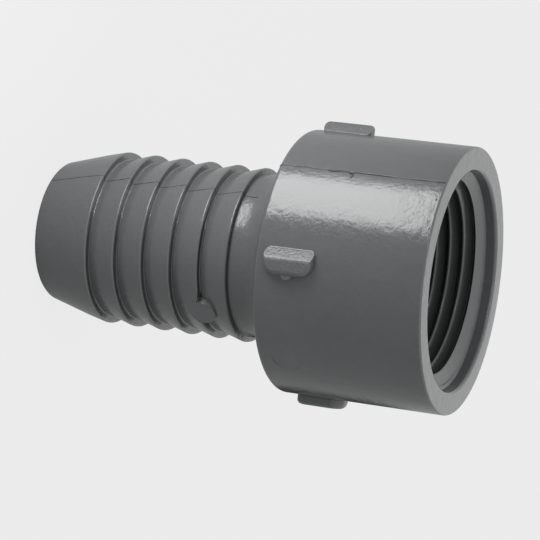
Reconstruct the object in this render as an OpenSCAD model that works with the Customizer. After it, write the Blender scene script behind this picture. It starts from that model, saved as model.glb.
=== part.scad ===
// Female insert adapter for 1 inch polyethylene pipe: a barbed tail on one end and a
// socket with an internal 1 inch taper pipe thread on the other, moulded in one piece.
// Z runs up the axis, from the nose face at z = 0 to the mouth of the socket.

/* [Barbed tail] */

// diameter of the nose face's rim, before it is rounded
nose_d = 22.2; // [18:0.1:26]
// rounding of the nose's outer edge
nose_round = 0.6; // [0.2:0.05:1]
// height from the nose face to the first crest's drop
entry_h = 10; // [7:0.1:16]
// diameter over the barb crests
crest_d = 27.7; // [26.8:0.1:30]
// diameter at the foot of each drop
root_d = 25.1; // [23.5:0.1:26]
// spacing of the barbs
barb_pitch = 4.76; // [3.5:0.01:7]
// number of barbs
barb_count = 6; // [2:1:8]
// width of the level land on each crest
land_w = 0.3; // [0.2:0.05:0.8]
// length of the steep drop behind each crest
drop_run = 0.3; // [0.1:0.05:0.8]
// rounding of the edge between a land and its drop
crest_round = 0.2; // [0.1:0.05:0.25]

/* [Neck] */

// diameter of the neck between the last barb and the socket
neck_d = 26; // [24:0.1:27]
// height of the neck, from the last crest's drop to the socket's back face
neck_h = 7.7; // [7:0.1:14]
// radius of the hollow curve from the neck out to the socket's back face
neck_fillet = 5.6; // [2:0.1:6]

/* [Socket] */

// outside diameter of the socket
socket_d = 41.5; // [39:0.1:48]
// height of the socket, from its back face to the mouth
socket_h = 26.7; // [24:0.1:36]
// rounding of the back rim
back_round = 0.8; // [0.2:0.05:1.5]
// rounding of the mouth's outer edge
mouth_round = 0.3; // [0.1:0.05:1]

/* [Threaded bore] */

// diameter of the bore at the root of its thread
bore_d = 33.2; // [32:0.1:34]
// depth from the mouth to the floor of the bore
bore_depth = 21.5; // [18:0.1:24]
// diametral clearance that the counterbore adds round the thread
counterbore_play = 0.96; // [0.4:0.02:2]
// depth of the counterbore
counterbore_h = 1.82; // [1:0.02:3]
// rounding of the counterbore's lip
lip_round = 0.5; // [0.1:0.05:0.8]
// angle between the countersink's wall and the mouth face, in degrees
sink_angle = 30; // [20:1:60]
// rounding in the corner of the floor
floor_round = 0.8; // [0.2:0.1:2]

/* [Flow passage] */

// diameter of the passage through the tail
passage_d = 19.5; // [16:0.1:20]
// rounding of the passage's upper lip
passage_lip = 1; // [0.3:0.1:2]

/* [Grip lugs] */

// number of lugs round the socket
lug_count = 4; // [2:2:8]
// length of a lug along the axis
lug_l = 7.8; // [6:0.1:14]
// width of a lug where it meets the socket
lug_w = 4.1; // [3.6:0.1:5]
// rise of a lug above the socket's wall
lug_rise = 1.5; // [1.2:0.1:1.8]
// how far a lug's middle lies from its quarter line, towards the parting line
lug_shift = 0.45; // [0:0.05:0.8]
// slope of the flank that faces the parting line, in degrees from the socket's wall
lug_flank = 45; // [40:1:60]
// radius of the ridge at the top of that flank
lug_ridge_r = 1.2; // [0.6:0.1:1.5]
// rounding of the other top edges
lug_top_round = 0.7; // [0.3:0.1:1]
// rounding of the flank's two corners, seen from outside
lug_corner_round = 1.1; // [0.6:0.1:1.6]
// rounding between the flank and the socket's wall
lug_foot_round = 0.4; // [0.2:0.1:0.6]
// height of the lugs' middle above the back face
lug_lift = 5.75; // [5:0.05:12]

/* [Ejector marks] */

// diameter of the ejector pins
pin_d = 4.5; // [3:0.1:6]
// direction of the pins, in degrees from the first lug
pin_angle = 315; // [0:5:355]
// depth of the tail's flat mark below the crests
tail_mark_depth = 0.25; // [0.05:0.05:0.4]
// height of the tail's mark above the drop it bridges
tail_mark_lift = 0.56; // [0:0.02:1.5]
// depth of the socket's flat mark below its wall
socket_mark_depth = 0.1; // [0.05:0.05:0.3]
// height of the socket's mark above the back face
socket_mark_lift = 4.8; // [3:0.1:20]

// the lug beside which a small pin left its stub, counted from the first
stub_lug = 3; // [0:1:7]
// diameter of the stub
stub_d = 1.85; // [1:0.05:2.5]
// distance of the stub's middle from the lug's quarter line, away from the parting line
stub_aside = 1.3; // [1:0.05:2]
// rise of the stub above the socket's wall
stub_rise = 1.1; // [0.4:0.1:1.2]

/* [Hidden] */

$fn = 96;

nose_r = nose_d / 2;
crest_r = crest_d / 2;
root_r = root_d / 2;
neck_r = neck_d / 2;
socket_r = socket_d / 2;
bore_r = bore_d / 2;
counterbore_r = bore_r + counterbore_play / 2;
passage_r = passage_d / 2;

last_drop_z = drop_z(barb_count - 1);
back_z = last_drop_z + neck_h;
mouth_z = back_z + socket_h;
floor_z = mouth_z - bore_depth;
sink_z = mouth_z - counterbore_h;
sink_h = (counterbore_r - bore_r) * tan(sink_angle);
lug_z = back_z + lug_lift;

// how far a cutter runs past the face that it cuts
past = 1;
// how deep a lug is rooted in the socket's wall
lug_root = 1.5;
// how far the rounding at a lug's foot runs on below the wall
foot_sink = 0.015;

// What rounding takes off a corner at the origin that points to +X +Y.
module corner_waste(r) {
  difference() {
    translate([-r, -r])
      square(r + past);
    translate([-r, -r])
      circle(r);
  }
}

// What fills an inside corner at the origin, between the +X and +Y directions.
module corner_fill(r) {
  difference() {
    square(r);
    translate([r, r])
      circle(r);
  }
}

// Unit vector from one point towards another.
function toward(from, to) = (to - from) / norm(to - from);

// What lies between a corner and the rounding of radius r that touches both its sides.
module corner_sliver(side_a, corner, side_b, r) {
  to_a = toward(corner, side_a);
  to_b = toward(corner, side_b);
  half = acos(to_a * to_b) / 2;
  run = r / tan(half);
  difference() {
    polygon([corner, corner + run * to_a, corner + run * to_b]);
    translate(corner + toward([0, 0], to_a + to_b) * r / sin(half))
      circle(r);
  }
}

// The height at which a barb's drop starts, counted from the nose.
function drop_z(i) = entry_h + i * barb_pitch;

// The radius at the foot of a barb's drop: the last one falls to the neck.
function foot_r(i) = i < barb_count - 1 ? root_r : neck_r;

// Three points of a barb's half section: start of the land, crest and foot of the drop.
function barb(i) = [
  [crest_r, drop_z(i) - land_w],
  [crest_r, drop_z(i)],
  [foot_r(i), drop_z(i) + drop_run]
];

// Half section of the nose, the entry cone and the row of barbs.
module tail_section() {
  difference() {
    polygon([
      [0, 0],
      [nose_r, 0],
      for (i = [0 : barb_count - 1])
        each barb(i),
      [0, last_drop_z + drop_run]
    ]);
    for (i = [0 : barb_count - 1])
      let (p = barb(i))
      corner_sliver(p[0], p[1], p[2], crest_round);
    translate([nose_r, 0])
      mirror([0, 1])
        corner_waste(nose_round);
  }
}

// Half section of the neck, with the hollow curve under the socket.
module neck_section() {
  translate([0, last_drop_z])
    square([neck_r, neck_h + back_round]);
  translate([neck_r, back_z])
    mirror([0, 1])
      corner_fill(neck_fillet);
}

// Half section of the socket with both rims rounded.
module socket_section() {
  difference() {
    translate([0, back_z])
      square([socket_r, socket_h]);
    translate([socket_r, mouth_z])
      corner_waste(mouth_round);
    translate([socket_r, back_z])
      mirror([0, 1])
        corner_waste(back_round);
  }
}

// Half section of the threaded bore: lip, counterbore, countersink, wall and floor.
module bore_section() {
  difference() {
    translate([0, floor_z])
      square([bore_r, bore_depth + past]);
    translate([bore_r, floor_z])
      mirror([1, 0])
        corner_fill(floor_round);
  }
  polygon([
    [0, sink_z - sink_h],
    [bore_r, sink_z - sink_h],
    [counterbore_r, sink_z],
    [counterbore_r, mouth_z + past],
    [0, mouth_z + past]
  ]);
  translate([counterbore_r, mouth_z])
    mirror([0, 1])
      corner_fill(lip_round);
}

// Half section of the flow passage, with its rounded upper lip.
module passage_section() {
  translate([0, -past])
    square([passage_r, floor_z + 2 * past]);
  translate([passage_r, floor_z])
    mirror([0, 1])
      corner_fill(passage_lip);
}

// The turned form: everything that is round about the axis.
module turned_form() {
  rotate_extrude()
    difference() {
      union() {
        tail_section();
        neck_section();
        socket_section();
      }
      bore_section();
      passage_section();
    }
}

// Sets things on the socket's wall at a lug's place: X runs round the wall towards the
// parting line, Y up the axis and Z outward.
module at_lug(i) {
  rotate(i * 360 / lug_count)
    mirror([0, i % 2])
      translate([socket_r, 0, lug_z])
        rotate([90, 0, 90])
          children();
}

// A flat end of a lug's length or half its width: from the Y axis out, its top edge rounded.
module lug_edge_section(half) {
  difference() {
    translate([0, -lug_root])
      square([half, lug_root + lug_rise]);
    translate([half, lug_rise])
      corner_waste(lug_top_round);
  }
}

// The side of a lug away from the parting line: half a pill with a rounded top edge.
module lug_round_side() {
  straight = lug_l - lug_w;
  for (end = [-1, 1])
    translate([0, end * straight / 2, 0])
      rotate_extrude()
        lug_edge_section(lug_w / 2);
  rotate([90, 0, 0])
    linear_extrude(straight, center = true)
      mirror([1, 0])
        lug_edge_section(lug_w / 2);
}

// The side that the flank is cut on: as long as the pill, with two rounded corners.
module lug_flank_side() {
  reach = lug_w / 2 + lug_foot_round / 2;
  intersection() {
    rotate([90, 0, 90])
      linear_extrude(reach)
        for (end = [0, 1])
          mirror([end, 0])
            lug_edge_section(lug_l / 2);
    translate([0, 0, -lug_root])
      linear_extrude(lug_root + lug_rise)
        difference() {
          translate([0, -lug_l / 2])
            square([reach, lug_l]);
          for (end = [0, 1])
            mirror([0, end])
              translate([reach, lug_l / 2])
                corner_waste(lug_corner_round);
        }
  }
}

// What the flank leaves of a lug's cross section: its ridge and its foot are rounded.
module flank_section() {
  wall_x = lug_shift + lug_w / 2;
  foot = [
    lug_w / 2,
    sqrt(pow(socket_r, 2) - pow(wall_x, 2)) - socket_r - foot_sink
  ];
  ridge = [
    foot.x - (lug_rise - foot.y) / tan(lug_flank),
    lug_rise
  ];
  far = [-lug_w, lug_rise];
  along_wall = foot + [1, -wall_x / socket_r];
  difference() {
    polygon([
      [far.x, -lug_root],
      [foot.x, -lug_root],
      foot,
      ridge,
      far
    ]);
    corner_sliver(far, ridge, foot, lug_ridge_r);
  }
  corner_sliver(ridge, foot, along_wall, lug_foot_round);
}

// A grip lug. The mould half is drawn off along its flank.
module lug() {
  translate([lug_shift, 0, 0])
    intersection() {
      union() {
        lug_round_side();
        lug_flank_side();
      }
      rotate([90, 0, 0])
        linear_extrude(lug_l + 2 * past, center = true)
          flank_section();
    }
}

// The stub that a small ejector pin left beside one lug.
module pin_stub() {
  translate([-stub_aside, 0, -lug_root])
    cylinder(d = stub_d, h = lug_root + stub_rise);
}

// A disc the size of an ejector pin, from one radius out to another, in the +X direction.
module pin_disc(z, from_r, to_r) {
  translate([from_r, 0, z])
    rotate([0, 90, 0])
      cylinder(d = pin_d, h = to_r - from_r);
}

// The adapter: turned form, grip lugs and the marks of the ejector pins.
module adapter_body() {
  tail_face_r = crest_r - tail_mark_depth;
  tail_mark_z = last_drop_z - barb_pitch + tail_mark_lift;
  socket_face_r = socket_r - socket_mark_depth;
  socket_mark_z = back_z + socket_mark_lift;
  color([0.40, 0.41, 0.42])
    difference() {
      union() {
        turned_form();
        for (i = [0 : lug_count - 1])
          at_lug(i)
            lug();
        at_lug(stub_lug)
          pin_stub();
        rotate(pin_angle)
          pin_disc(tail_mark_z, root_r - past, tail_face_r);
      }
      rotate(pin_angle) {
        pin_disc(tail_mark_z, tail_face_r, crest_r + past);
        pin_disc(socket_mark_z, socket_face_r, socket_r + past);
      }
    }
}

adapter_body();
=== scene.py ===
from math import cos, pi, radians, sin, tan

import bmesh
import bpy
from mathutils import Matrix, Vector


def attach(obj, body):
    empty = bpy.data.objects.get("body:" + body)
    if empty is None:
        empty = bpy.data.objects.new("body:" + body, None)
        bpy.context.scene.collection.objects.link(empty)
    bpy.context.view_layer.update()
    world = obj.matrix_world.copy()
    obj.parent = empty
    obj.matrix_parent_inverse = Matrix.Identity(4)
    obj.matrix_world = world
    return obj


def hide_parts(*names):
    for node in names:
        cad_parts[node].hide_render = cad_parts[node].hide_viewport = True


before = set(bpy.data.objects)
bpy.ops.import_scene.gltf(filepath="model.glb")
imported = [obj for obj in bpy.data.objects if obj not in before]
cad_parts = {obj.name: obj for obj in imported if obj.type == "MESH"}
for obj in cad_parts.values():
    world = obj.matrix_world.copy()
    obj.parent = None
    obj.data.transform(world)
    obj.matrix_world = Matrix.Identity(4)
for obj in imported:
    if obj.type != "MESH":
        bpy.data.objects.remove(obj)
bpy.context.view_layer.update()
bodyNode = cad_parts["adapter_body"]
mm = 0.001
mouthZ = 68.2 * mm


# Operators act on all that is selected, so each piece starts with nothing selected.
def selectOnly(*pieces):
    if bpy.context.object and bpy.context.object.mode != "OBJECT":
        bpy.ops.object.mode_set(mode="OBJECT")
    bpy.ops.object.select_all(action="DESELECT")
    for piece in pieces:
        piece.select_set(True)
    if pieces:
        bpy.context.view_layer.objects.active = pieces[0]


# In edit mode: selects the edges or faces whose points all pass a test.
def pick(piece, kind, test):
    bpy.ops.mesh.select_mode(type=kind)
    bpy.ops.mesh.select_all(action="DESELECT")
    shape = bmesh.from_edit_mesh(piece.data)
    for part in shape.edges if kind == "EDGE" else shape.faces:
        part.select_set(all(test(v.co) for v in part.verts))
    shape.select_flush_mode()
    bmesh.update_edit_mesh(piece.data)


def applyModifier(piece, kind, **settings):
    selectOnly(piece)
    modifier = piece.modifiers.new(kind.lower(), kind)
    for name, value in settings.items():
        setattr(modifier, name, value)
    bpy.ops.object.modifier_apply(modifier=modifier.name)


def settle(piece, name, material):
    selectOnly(piece)
    bpy.ops.object.transform_apply(location=True, rotation=True, scale=True)
    bpy.ops.object.mode_set(mode="EDIT")
    bpy.ops.mesh.select_all(action="SELECT")
    bpy.ops.mesh.remove_doubles(threshold=0.002 * mm)
    bpy.ops.mesh.normals_make_consistent(inside=False)
    bpy.ops.object.mode_set(mode="OBJECT")
    piece.name = piece.data.name = name
    piece.data.materials.clear()
    piece.data.materials.append(material)
    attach(piece, "root")
    return piece


# Wraps a socket, so that shader maths can be written as sums.
class Wire:
    def __init__(self, tree, socket=None):
        self.tree = tree
        self.socket = socket

    # Adds any node: its settings first, then the values or links of its sockets.
    def make(self, kind, settings=None, inputs=None, output=0):
        node = self.tree.nodes.new(kind)
        for name, value in (settings or {}).items():
            setattr(node, name, value)
        for name, value in (inputs or {}).items():
            if isinstance(value, Wire):
                self.tree.links.new(value.socket, node.inputs[name])
            else:
                node.inputs[name].default_value = value
        return Wire(self.tree, node.outputs[output])

    def sum(self, operation, a, b):
        return self.make("ShaderNodeMath", {"operation": operation}, {0: a, 1: b})

    def __add__(self, other):
        return self.sum("ADD", self, other)

    __radd__ = __add__

    def __sub__(self, other):
        return self.sum("SUBTRACT", self, other)

    def __rsub__(self, other):
        return self.sum("SUBTRACT", other, self)

    def __mul__(self, other):
        return self.sum("MULTIPLY", self, other)

    __rmul__ = __mul__

    def __pow__(self, other):
        return self.sum("POWER", self, other)


print("stage: camera, floor and lights")

cameraSettings = {
    "place": (-0.0147, -0.3598, 0.1741),
    "right": (-0.1128, 0.3598, 0.9262),
    "up": (-0.99266, 0, -0.1209),
    "back": (-0.0435, -0.9330, 0.3572),
    "lens": 162.8,  # mm, on a 36 mm sensor
}
lightSettings = {
    "background": 0.865,
    "backdropFrom": -0.09,  # along Y: the backdrop and the lit part of the floor start here
    "backdropTo": -0.045,
    "floorPaint": 0.4,
    # painted shadow on the floor that only a gloss sees: it darkens the reflection along the lower edge
    "paintedShadowPlace": (0.05, 0.13, 0),
    "paintedShadowFrom": 0.08,
    "paintedShadowTo": 0.05,
    "glossShare": 0.15,  # how much of the backdrop a gloss shows: 1 is all of it
    "backdropShare": 0.92,  # how far the backdrop's glow covers the floor's own paint
    # broad lights of the studio: direction and strength
    "sky": (
        ((0.7, -0.7, 0), 0.15),
        ((0, 0, 1), 0.5),
        ((0.04, 0.93, 0.36), 0.25),  # the mouth's flat ring reflects this one
    ),
    "allSky": 0.8,
    # soft box that stands beside the object, low, seen as the bright band along it
    "boxTurn": 53.5,  # degrees from the camera's side of the axis
    "boxDistance": 86 * mm,
    "boxHeight": 25 * mm,
    "boxSize": (55 * mm, 48 * mm),
    "boxWatts": 0.079,
    # lamp above, on the same side: it glints on the edges of the barbs and the thread
    "topDirection": (-0.506, -0.723, 0.469),
    "topDistance": 0.6,
    "topHeight": 40 * mm,
    "topSize": (0.045, 0.08),
    "topWatts": 0.42,
}


def addCamera(s):
    camera = bpy.data.objects.new("camera", bpy.data.cameras.new("camera"))
    bpy.context.scene.collection.objects.link(camera)
    turn = Matrix((s["right"], s["up"], s["back"])).transposed().to_4x4()
    camera.matrix_world = Matrix.Translation(s["place"]) @ turn
    camera.data.sensor_width = 36
    camera.data.lens = s["lens"]
    camera.data.clip_start = 0.01
    bpy.context.scene.camera = camera


def addFloor(s):
    selectOnly()
    bpy.ops.mesh.primitive_plane_add(size=6, location=(0, 0, -0.05 * mm))
    floor = bpy.context.object
    floor.name = "floor"
    material = bpy.data.materials.new("paleFloor")
    material.use_nodes = True
    tree = material.node_tree
    tree.nodes.clear()
    wire = Wire(tree)
    place = wire.make("ShaderNodeTexCoord", output="Object")

    # 0 before one line across the floor and 1 past the other
    def rise(value, start, end):
        return wire.make("ShaderNodeMapRange", {"interpolation_type": "SMOOTHSTEP"},
                         {"Value": value, "From Min": start, "From Max": end})

    camera, gloss, clear = (wire.make("ShaderNodeLightPath", output=name) for name in
                            ("Is Camera Ray", "Is Glossy Ray", "Is Transmission Ray"))
    # painted shadow: darker round one point on the floor, for glossy rays only, in both the glow and the
    # paint
    away = wire.make("ShaderNodeVectorMath", {"operation": "DISTANCE"},
                     {0: place, 1: s["paintedShadowPlace"]}, output="Value")
    paintedShadow = gloss * rise(away, s["paintedShadowFrom"], s["paintedShadowTo"])
    back = wire.make("ShaderNodeSeparateXYZ", inputs={0: place}, output="Y")
    backdrop = rise(back, s["backdropFrom"], s["backdropTo"])
    seen = (camera + gloss * (1 - paintedShadow) * s["glossShare"] + clear) * backdrop
    shade = wire.make("ShaderNodeCombineColor", inputs={name: (1 - paintedShadow) * s["floorPaint"]
                                                        for name in ("Red", "Green", "Blue")})
    paint = wire.make("ShaderNodeBsdfDiffuse", inputs={"Color": shade})
    glow = wire.make("ShaderNodeEmission", inputs={"Color": (1, 1, 1, 1), "Strength": s["background"]})
    mixed = wire.make("ShaderNodeMixShader", inputs={0: seen * s["backdropShare"], 1: paint, 2: glow})
    out = tree.nodes.new("ShaderNodeOutputMaterial")
    tree.links.new(mixed.socket, out.inputs[0])
    floor.data.materials.append(material)


def addWorld(s):
    world = bpy.data.worlds.new("studio")
    bpy.context.scene.world = world
    world.use_nodes = True
    tree = world.node_tree
    tree.nodes.clear()
    wire = Wire(tree)
    direction = wire.make("ShaderNodeTexCoord", output="Generated")

    # 1 straight towards a direction, 0 square to it and behind
    def towards(*way):
        dot = wire.make("ShaderNodeVectorMath", {"operation": "DOT_PRODUCT"},
                        {0: direction, 1: way}, output="Value")
        return wire.sum("MAXIMUM", dot, 0)

    light = sum(towards(*way) ** 2 * strength for way, strength in s["sky"]) + s["allSky"]
    sky = wire.make("ShaderNodeBackground", inputs={"Color": (1, 1, 1, 1), "Strength": light})
    out = tree.nodes.new("ShaderNodeOutputWorld")
    tree.links.new(sky.socket, out.inputs[0])


def addLamp(name, direction, distance, lift, size, watts):
    lamp = bpy.data.lights.new(name, "AREA")
    lamp.shape = "RECTANGLE"
    lamp.size, lamp.size_y = size
    lamp.energy = watts
    holder = bpy.data.objects.new(name, lamp)
    bpy.context.scene.collection.objects.link(holder)
    holder.location = direction * distance + Vector((0, 0, lift))
    holder.rotation_euler = direction.to_track_quat("Z", "Y").to_euler()
    holder.visible_camera = False


def addLamps(s):
    turn = radians(s["boxTurn"])
    addLamp("softBox", Vector((-sin(turn), -cos(turn), 0)), s["boxDistance"], s["boxHeight"],
            s["boxSize"], s["boxWatts"])
    addLamp("topLamp", Vector(s["topDirection"]), s["topDistance"], s["topHeight"],
            s["topSize"], s["topWatts"])


bpy.context.scene.view_settings.view_transform = "Standard"
addCamera(cameraSettings)
addFloor(lightSettings)
addWorld(lightSettings)
addLamps(lightSettings)

print("stage: grey plastic")

plasticSettings = {
    "grey": (0.076, 0.079, 0.0805),
    "roughness": 0.21,
    "ior": 1.5,
    "flowScale": 70,  # broad clouds, mottle and fine grain: scale and detail of each pattern
    "flowDetail": 3,
    "mottleScale": 700,
    "mottleDetail": 3,
    "grainScale": 2200,
    "grainDetail": 2,
    "flowShade": 0.2,  # how far the patterns change the colour and the roughness
    "mottleShade": 0.12,
    "flowRough": 0.1,
    "mottleRough": 0.12,
    "bumpStrength": 0.7,
    "bumpHeight": 0.09 * mm,
    "wallGrain": 0.4,
    # the lugs' finish is coarser, and begins between these radii
    "lugFrom": 20.82 * mm,
    "lugTo": 20.95 * mm,
    "lugRough": 0.16,
    "lugGrain": 1.2,
    # painted shadow, not dirt: the drops are darker on the +X side, as they are in the photograph
    "dropShadow": 0.62,  # 0 leaves it out
    "dropZ": 10.45 * mm,
    "dropPitch": 4.76 * mm,
    "dropReach": 0.35 * mm,
    "dropOuter": (13.58 * mm, 13.4 * mm),
    "dropInner": (12 * mm, 12.3 * mm),
    "dropFirst": (8 * mm, 9 * mm),  # heights where it begins and ends
    "dropLast": (36 * mm, 35 * mm),
    "sideFrom": -6 * mm,  # along X, and further round near the socket
    "sideTo": 0,
    "sideTurn": 7 * mm,
    "turnFrom": 24 * mm,
    "turnTo": 34 * mm,
}


def greyPlastic(s):
    material = bpy.data.materials.new("greyPlastic")
    material.use_nodes = True
    tree = material.node_tree
    tree.nodes.clear()
    wire = Wire(tree)
    place = wire.make("ShaderNodeTexCoord", output="Object")

    def noise(scale, detail):
        return wire.make("ShaderNodeTexNoise", inputs={
            "Vector": place, "Scale": scale, "Detail": detail, "Roughness": 0.5})

    def rise(value, start, end):
        return wire.make("ShaderNodeMapRange", inputs={
            "Value": value, "From Min": start, "From Max": end})

    flat = wire.make("ShaderNodeVectorMath", {"operation": "MULTIPLY"}, {0: place, 1: (1, 1, 0)})
    outward = wire.make("ShaderNodeVectorMath", {"operation": "LENGTH"}, {0: flat}, output="Value")
    onLug = rise(outward, s["lugFrom"], s["lugTo"])
    flow = noise(s["flowScale"], s["flowDetail"])
    mottle = noise(s["mottleScale"], s["mottleDetail"])
    grain = noise(s["grainScale"], s["grainDetail"])
    across = wire.make("ShaderNodeSeparateXYZ", inputs={0: place}, output="X")
    height = wire.make("ShaderNodeSeparateXYZ", inputs={0: place}, output="Z")
    step = wire.make("ShaderNodeMath", {"operation": "PINGPONG"},
                     {0: height - s["dropZ"], 1: s["dropPitch"] / 2})
    onDrop = rise(step, s["dropReach"], s["dropReach"] / 4) * rise(outward, *s["dropOuter"])
    turned = rise(height, s["turnFrom"], s["turnTo"]) * s["sideTurn"]
    shadowSide = rise(across + turned, s["sideFrom"], s["sideTo"])
    onBarbs = rise(outward, *s["dropInner"]) * rise(height, *s["dropLast"]) * rise(height, *s["dropFirst"])
    clouds = (flow - 0.5) * s["flowShade"] + (mottle - 0.5) * s["mottleShade"] + 1
    shade = clouds * (1 - onDrop * shadowSide * onBarbs * s["dropShadow"])
    tint = wire.make("ShaderNodeVectorMath", {"operation": "SCALE"}, {0: s["grey"], "Scale": shade})
    roughness = ((mottle - 0.5) * s["mottleRough"] + (flow - 0.5) * s["flowRough"]
                 + onLug * s["lugRough"] + s["roughness"])
    relief = mottle + grain * (onLug * s["lugGrain"] + s["wallGrain"])
    bump = wire.make("ShaderNodeBump", inputs={
        "Strength": s["bumpStrength"], "Distance": s["bumpHeight"], "Height": relief})
    shader = tree.nodes.new("ShaderNodeBsdfPrincipled")
    shader.inputs["IOR"].default_value = s["ior"]
    tree.links.new(tint.socket, shader.inputs["Base Color"])
    tree.links.new(roughness.socket, shader.inputs["Roughness"])
    tree.links.new(bump.socket, shader.inputs["Normal"])
    out = tree.nodes.new("ShaderNodeOutputMaterial")
    tree.links.new(shader.outputs[0], out.inputs[0])
    return material


plastic = greyPlastic(plasticSettings)

print("stage: body")

bodySettings = {
    "tailFrom": 9 * mm,  # the barbs lie between these heights
    "tailTo": 34.5 * mm,
    "footR": 12.55 * mm,  # radii of a drop's foot and of its crest
    "footSlack": 0.1 * mm,  # nothing moves that lies further in than the foot by more than this
    "footBand": 0.02 * mm,  # how near to its radius an edge lies to count as the foot
    "valleyRound": 0.28 * mm,
    "roundGap": 0.6 * mm,  # the rounding stops this far from where the pad's surroundings begin
    "crestR": 13.65 * mm,
    "footShift": 0.15 * mm,  # how far each is drawn towards the socket
    "crestShift": 0.4 * mm,
    "padTurn": 315,  # round the flat pad across one groove nothing moves
    "padZ": 29.6 * mm,
    "padReach": (2.5 * mm, 4 * mm),
}


# 0 up to one value, 1 past the other, and even between them
def blend(value, start, end):
    return min(max((value - start) / (end - start), 0), 1)


# A copy of the node with steeper drops, their crests drawn towards the socket.
def makeBody(s):
    selectOnly(bodyNode)
    bpy.ops.object.duplicate()
    body = bpy.context.object
    bpy.ops.mesh.customdata_custom_splitnormals_clear()
    bpy.ops.object.mode_set(mode="EDIT")
    bpy.ops.mesh.select_all(action="SELECT")
    bpy.ops.mesh.remove_doubles(threshold=0.002 * mm)
    turn = radians(s["padTurn"])
    pad = Vector((cos(turn) * s["crestR"], sin(turn) * s["crestR"], s["padZ"]))
    shape = bmesh.from_edit_mesh(body.data)
    for v in shape.verts:
        r = v.co.xy.length
        if s["tailFrom"] < v.co.z < s["tailTo"] and r > s["footR"] - s["footSlack"]:
            share = blend(r, s["footR"], s["crestR"])
            shift = s["footShift"] + (s["crestShift"] - s["footShift"]) * share
            v.co.z += shift * blend((v.co - pad).length, *s["padReach"])
    bmesh.update_edit_mesh(body.data)
    pick(body, "EDGE", lambda c: abs(c.xy.length - s["footR"]) < s["footBand"]
         and s["tailFrom"] < c.z < s["tailTo"] and (c - pad).length > s["padReach"][0] + s["roundGap"])
    bpy.ops.mesh.bevel(offset=s["valleyRound"], segments=3, affect="EDGES", clamp_overlap=True)
    bpy.ops.object.mode_set(mode="OBJECT")
    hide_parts("adapter_body")
    settle(body, "adapterBody", plastic)
    bpy.ops.object.shade_smooth_by_angle(angle=radians(25))
    applyModifier(body, "WEIGHTED_NORMAL", mode="FACE_AREA", keep_sharp=True)
    return body


adapterBody = makeBody(bodySettings)

print("stage: thread")

threadSettings = {
    "pitch": 2.209 * mm,
    "crestR": 12.72 * mm,  # the crest's radius at z = 0, before the taper
    "crestFlat": 0.25 * mm,
    "depth": 1.70 * mm,
    "taper": 0.03125,  # growth of the radius over the height
    "crestZ": 62.66 * mm,  # a crest's height in the +X direction
    "turns": 10,
    "steps": 120,
    "topDepth": 0.6 * mm,
    "endDepth": 19.4 * mm,
    "backR": 17.6 * mm,  # radius of the piece's back, inside the bore's wall
    "tubeLength": 30 * mm,  # longer than the thread, before both ends are cut
    "cutterR": 13.5 * mm,  # the countersink's cutter begins inside the crests and ends above the mouth
    "cutterAbove": 1 * mm,
    "sinkR": 17.08 * mm,
    "sinkDepth": 1.80 * mm,
    "sinkAngle": 30,
    "crestRound": 0.11 * mm,
    "grooveShadow": 0.42,  # painted shadow, all round: 0 leaves it out
    "grooveFrom": 0.15 * mm,  # beyond the crest's radius
    "grooveTo": 0.5 * mm,
    "belowFrom": 0.05 * mm,  # under the countersink
    "belowTo": 0.3 * mm,
}


# The plastic again, with the painted shadow in the grooves, no further up than the countersink.
def groovePlastic(s):
    material = plastic.copy()
    material.name = "groovePlastic"
    tree = material.node_tree
    shader = next(node for node in tree.nodes if node.type == "BSDF_PRINCIPLED")
    wire = Wire(tree, shader.inputs["Base Color"].links[0].from_socket)
    place = wire.make("ShaderNodeTexCoord", output="Object")
    flat = wire.make("ShaderNodeVectorMath", {"operation": "MULTIPLY"}, {0: place, 1: (1, 1, 0)})
    outward = wire.make("ShaderNodeVectorMath", {"operation": "LENGTH"}, {0: flat}, output="Value")
    height = wire.make("ShaderNodeSeparateXYZ", inputs={0: place}, output="Z")
    inGroove = wire.make("ShaderNodeMapRange", inputs={
        "Value": outward - height * s["taper"],
        "From Min": s["crestR"] + s["grooveFrom"], "From Max": s["crestR"] + s["grooveTo"]})
    sink = (outward - s["sinkR"]) * tan(radians(s["sinkAngle"])) + (mouthZ - s["sinkDepth"])
    below = wire.make("ShaderNodeMapRange", inputs={
        "Value": sink - height, "From Min": s["belowFrom"], "From Max": s["belowTo"]})
    tint = wire.make("ShaderNodeVectorMath", {"operation": "SCALE"}, {
        0: wire, "Scale": 1 - inGroove * below * s["grooveShadow"]})
    tree.links.new(tint.socket, shader.inputs["Base Color"])
    return material


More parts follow.
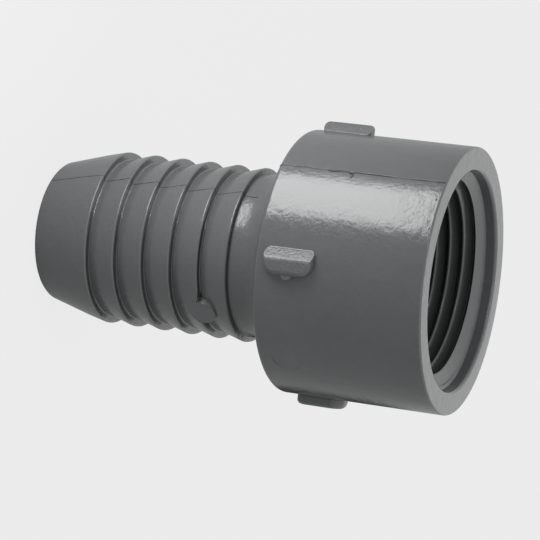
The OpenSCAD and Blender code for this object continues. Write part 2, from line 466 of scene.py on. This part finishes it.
def makeThread(s):
    # one pitch of the profile, standing in the XZ plane: a plane with its inner edge drawn in
    selectOnly()
    firstZ = s["crestZ"] - s["pitch"] * 7
    middleR = s["crestR"] + s["depth"] / 2
    bpy.ops.mesh.primitive_plane_add(size=1, location=(middleR, 0, firstZ), rotation=(pi / 2, 0, 0))
    ridge = bpy.context.object
    ridge.scale = (s["depth"], s["pitch"], 1)
    bpy.ops.object.transform_apply(location=False, rotation=True, scale=True)
    bpy.ops.object.transform_apply(location=True, rotation=False, scale=False)
    bpy.ops.object.mode_set(mode="EDIT")
    pick(ridge, "EDGE", lambda c: c.x < s["crestR"] + 0.01 * mm)
    bpy.ops.transform.resize(value=(1, 1, s["crestFlat"] / s["pitch"]),
                             center_override=(s["crestR"], 0, firstZ))
    bpy.ops.mesh.bevel(offset=s["crestRound"], segments=3, affect="VERTICES")
    pick(ridge, "EDGE", lambda c: c.x > s["crestR"] + s["depth"] - 0.01 * mm)
    bpy.ops.mesh.delete(type="EDGE")
    bpy.ops.object.mode_set(mode="OBJECT")
    applyModifier(ridge, "SCREW", axis="Z", angle=2 * pi, screw_offset=s["pitch"],
                  iterations=s["turns"], steps=s["steps"], render_steps=s["steps"])
    heights = [v.co.z for v in ridge.data.vertices]
    applyModifier(ridge, "SIMPLE_DEFORM", deform_method="TAPER", deform_axis="Z",
                  factor=s["taper"] / s["crestR"] * (max(heights) - min(heights)))

    # a tube round the back, inside the bore's wall, then both are cut level and closed at the ends
    bpy.ops.object.mode_set(mode="EDIT")
    bpy.ops.mesh.select_all(action="SELECT")
    bpy.ops.mesh.remove_doubles(threshold=0.001 * mm)
    middleZ = mouthZ - (s["topDepth"] + s["endDepth"]) / 2
    bpy.ops.mesh.primitive_cylinder_add(vertices=s["steps"], radius=s["backR"], depth=s["tubeLength"],
                                        end_fill_type="NOTHING", location=(0, 0, middleZ))
    for depth, way in ((s["topDepth"], 1), (s["endDepth"], -1)):
        bpy.ops.mesh.select_all(action="SELECT")
        bpy.ops.mesh.bisect(plane_co=(0, 0, mouthZ - depth), plane_no=(0, 0, way), use_fill=True,
                            clear_outer=True, threshold=0.0001 * mm)
    bpy.ops.mesh.select_all(action="SELECT")
    bpy.ops.mesh.normals_make_consistent(inside=False)
    bpy.ops.object.mode_set(mode="OBJECT")

    # the countersink cuts through the first ridge
    lowR, above = s["cutterR"], s["cutterAbove"]
    slope = tan(radians(s["sinkAngle"]))
    lowDepth = s["sinkDepth"] + (s["sinkR"] - lowR) * slope
    bpy.ops.mesh.primitive_cone_add(vertices=s["steps"], radius1=lowR,
                                    radius2=lowR + (lowDepth + above) / slope, depth=lowDepth + above,
                                    location=(0, 0, mouthZ - (lowDepth - above) / 2))
    cutter = bpy.context.object
    applyModifier(ridge, "BOOLEAN", object=cutter, operation="DIFFERENCE", solver="EXACT")
    bpy.data.objects.remove(cutter)
    settle(ridge, "threadRidges", groovePlastic(s))
    bpy.ops.object.shade_smooth_by_angle(angle=radians(25))
    return ridge


makeThread(threadSettings)

print("stage: parting line")

flashSettings = {
    "turn": 225,  # direction of the line in the photograph: the other one lies opposite
    "noseR": 11.2 * mm,  # the line is kept outside these radii
    "tailTop": 42 * mm,
    "socketR": 20.6 * mm,
    "step": 0.8 * mm,  # longer edges are cut up, so that they can wander
    "cuts": 12,
    "seed": 4,
    "shade": 0.3,  # how dark the seam is, against the plastic
}


def seamPlastic(s):
    material = plastic.copy()
    material.name = "seamPlastic"
    tree = material.node_tree
    shader = next(node for node in tree.nodes if node.type == "BSDF_PRINCIPLED")
    wire = Wire(tree, shader.inputs["Base Color"].links[0].from_socket)
    tint = wire.make("ShaderNodeVectorMath", {"operation": "SCALE"}, {0: wire, "Scale": s["shade"]})
    tree.links.new(tint.socket, shader.inputs["Base Color"])
    return material


# A thin bead on the section's outline, where the two mould halves met.
def makeFlash(s, name, low, high, aside, radius, wander, material):
    selectOnly(adapterBody)
    bpy.ops.object.duplicate()
    flash = bpy.context.object
    bpy.ops.object.mode_set(mode="EDIT")
    bpy.ops.mesh.select_all(action="SELECT")
    bpy.ops.mesh.remove_doubles(threshold=0.002 * mm)
    turn = radians(s["turn"])
    across = Vector((-sin(turn), cos(turn), 0))
    bpy.ops.mesh.bisect(plane_co=across * aside, plane_no=across, clear_inner=True,
                        clear_outer=True, threshold=0.0001 * mm)
    pick(flash, "EDGE", lambda c: c.xy.length < (s["noseR"] if c.z < s["tailTop"] else s["socketR"])
         or not low < c.z < high)
    bpy.ops.mesh.delete(type="VERT")
    shape = bmesh.from_edit_mesh(flash.data)
    for edge in shape.edges:
        edge.select_set(edge.calc_length() > s["step"])
    bmesh.update_edit_mesh(flash.data)
    bpy.ops.mesh.subdivide(number_cuts=s["cuts"])
    bpy.ops.mesh.select_all(action="SELECT")
    bpy.ops.transform.vertex_random(offset=wander, uniform=1, seed=s["seed"])
    bpy.ops.object.mode_set(mode="OBJECT")
    bpy.ops.object.convert(target="CURVE")
    flash.data.bevel_depth = radius
    flash.data.bevel_resolution = 2
    flash.data.use_fill_caps = True
    bpy.ops.object.convert(target="MESH")
    settle(flash, name, material)
    bpy.ops.object.shade_smooth_by_angle(angle=radians(60))
    return flash


seam = seamPlastic(flashSettings)
makeFlash(flashSettings, "tailSeam", 0, 34.1 * mm, 0, 0.045 * mm, 0.02 * mm, seam)
makeFlash(flashSettings, "neckSeam", 34.15 * mm, 36.7 * mm, 0, 0.09 * mm, 0.02 * mm, seam)
makeFlash(flashSettings, "socketSeam", 41.6 * mm, 68 * mm, 0, 0.085 * mm, 0.03 * mm, seam)
makeFlash(flashSettings, "socketFlash", 41.6 * mm, 68 * mm, -0.14 * mm, 0.06 * mm, 0.05 * mm, plastic)

print("stage: specks")

# name, direction, height, sizes round the wall, along the axis and outward, and finish
speckSettings = {
    "seamLump": (225.4, 50.5 * mm, (0.3 * mm, 2.2 * mm, 0.16 * mm), seam),
    "seamBlob": (225.5, 53.3 * mm, (0.42 * mm, 0.9 * mm, 0.34 * mm), plastic),
    "seamSpur": (226.9, 53.5 * mm, (0.8 * mm, 0.3 * mm, 0.22 * mm), plastic),
    "rimSpeck": (234.3, 67.5 * mm, (0.45 * mm, 0.3 * mm, 0.06 * mm), seam),
}


def makeSpeck(name, turn, height, size, material):
    wallR = 20.75 * mm
    selectOnly()
    bpy.ops.mesh.primitive_uv_sphere_add(segments=16, ring_count=10, radius=0.5)
    speck = bpy.context.object
    speck.scale = (size[2] * 2, size[0], size[1])
    speck.rotation_euler = (0, 0, radians(turn))
    speck.location = (wallR * cos(radians(turn)), wallR * sin(radians(turn)), height)
    settle(speck, name, material)
    bpy.ops.object.shade_smooth()
    return speck


for name, values in speckSettings.items():
    makeSpeck(name, *values)
